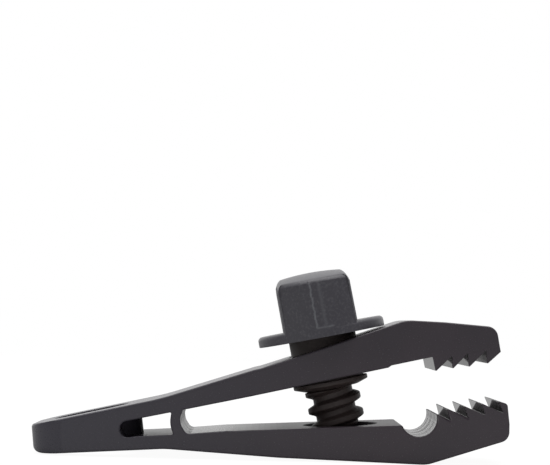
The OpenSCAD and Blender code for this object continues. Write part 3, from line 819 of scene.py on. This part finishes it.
# Photo table: a white sheet under the clip, in a white room whose light comes from all sides, with
# a wide lamp above. The sheet glows white to the camera alone and keeps the clip's shadow.
SHEET_REACH, GLOW_SHARE = 900, 0.85
sheet = mesh_piece("white sheet",
                   [[-SHEET_REACH, -SHEET_REACH, 0], [SHEET_REACH, -SHEET_REACH, 0],
                    [SHEET_REACH, SHEET_REACH, 0], [-SHEET_REACH, SHEET_REACH, 0]],
                   [[0, 1, 2, 3]])
paper = bpy.data.materials.new("white paper")
paper.use_nodes = True
tree = paper.node_tree
tree.nodes.clear()
matt = add(tree, "ShaderNodeBsdfDiffuse", Color=srgb("C4C4C4"))
glow = add(tree, "ShaderNodeEmission", Color=srgb("FFFFFF"), Strength=1.12)
seen = add(tree, "ShaderNodeLightPath")
share = add(tree, "ShaderNodeMath", {0: seen.outputs["Is Camera Ray"]}, operation="MULTIPLY")
share.inputs[1].default_value = GLOW_SHARE
both = add(tree, "ShaderNodeMixShader", {"Fac": share.outputs[0], 1: matt.outputs[0],
                                         2: glow.outputs[0]})
add(tree, "ShaderNodeOutputMaterial", {"Surface": both.outputs[0]})
sheet.data.materials.append(paper)

world = bpy.data.worlds.new("white room")
bpy.context.scene.world = world
world.use_nodes = True
tree = world.node_tree
tree.nodes.clear()
path = add(tree, "ShaderNodeLightPath")
towards = add(tree, "ShaderNodeSeparateXYZ",
              {"Vector": add(tree, "ShaderNodeTexCoord").outputs["Generated"]})
# the room is white behind the clip and overhead, and dimmer behind the camera and to both sides
bright = add(tree, "ShaderNodeMapRange", {"Value": towards.outputs["Y"]}, From_Min=-0.75,
             From_Max=0.35, To_Min=0.3, To_Max=1.0)
sideways = add(tree, "ShaderNodeMath", {0: towards.outputs["X"]}, operation="ABSOLUTE")
flags = add(tree, "ShaderNodeMapRange", {"Value": sideways.outputs[0]}, From_Min=0.45,
            From_Max=0.95, To_Min=1.0, To_Max=0.5)
level = add(tree, "ShaderNodeMath", {0: bright.outputs["Result"], 1: flags.outputs["Result"]},
            operation="MULTIPLY")
room = add(tree, "ShaderNodeBackground", {"Strength": level.outputs[0]}, Color=srgb("FFFFFF"))
wall = add(tree, "ShaderNodeBackground", Color=srgb("FFFFFF"), Strength=1.0)
both = add(tree, "ShaderNodeMixShader", {"Fac": path.outputs["Is Camera Ray"],
                                         1: room.outputs[0], 2: wall.outputs[0]})
add(tree, "ShaderNodeOutputWorld", {"Surface": both.outputs[0]})

# the lamp is 0.6 m by 0.4 m, hangs 0.6 m above the table and is tipped by 9 degrees
lamp = bpy.data.lights.new("wide lamp", "AREA")
lamp.shape, lamp.size, lamp.size_y, lamp.energy = "RECTANGLE", 0.6, 0.4, 2.0
lamp_object = bpy.data.objects.new("wide lamp", lamp)
lamp_object.location = (0, -0.1, 0.6)
lamp_object.rotation_euler = (math.radians(-9), 0, 0)
bpy.context.scene.collection.objects.link(lamp_object)

# Camera where the photograph was taken from: level with the knob's foot, 0.4 m away, turned by
# 1.45 degrees about its own axis. The open clip fills the photograph's lower half.
from mathutils import Matrix, Vector

FOCAL_PIXELS, ROLL, SENSOR_WIDTH = 1666.0, math.radians(1.45), 36.0
PICTURE_WIDTH, PICTURE_MIDDLE, LEVEL_PIXEL = 550, (275, 232.5), (262, 320)
CAMERA_PLACE = (-1.88 * MM, -406 * MM, 33.0 * MM)
right = Vector((math.cos(ROLL), 0, math.sin(ROLL)))
up = Vector((-math.sin(ROLL), 0, math.cos(ROLL)))
# the level line of sight, square to the clip's side, passes through LEVEL_PIXEL
ahead = (Vector((0, 1, 0)) + right * (PICTURE_MIDDLE[0] - LEVEL_PIXEL[0]) / FOCAL_PIXELS
         + up * (LEVEL_PIXEL[1] - PICTURE_MIDDLE[1]) / FOCAL_PIXELS).normalized()
right = ahead.cross(up).normalized()
up = right.cross(ahead)
camera = bpy.data.cameras.new("camera")
camera.sensor_width, camera.lens = SENSOR_WIDTH, SENSOR_WIDTH * FOCAL_PIXELS / PICTURE_WIDTH
camera.clip_start, camera.clip_end = 0.01, 20
camera_object = bpy.data.objects.new("camera", camera)
camera_object.matrix_world = (Matrix.Translation(CAMERA_PLACE)
                              @ Matrix((right, up, -ahead)).transposed().to_4x4())
bpy.context.scene.collection.objects.link(camera_object)
bpy.context.scene.camera = camera_object
bpy.context.scene.view_settings.view_transform = "Standard"
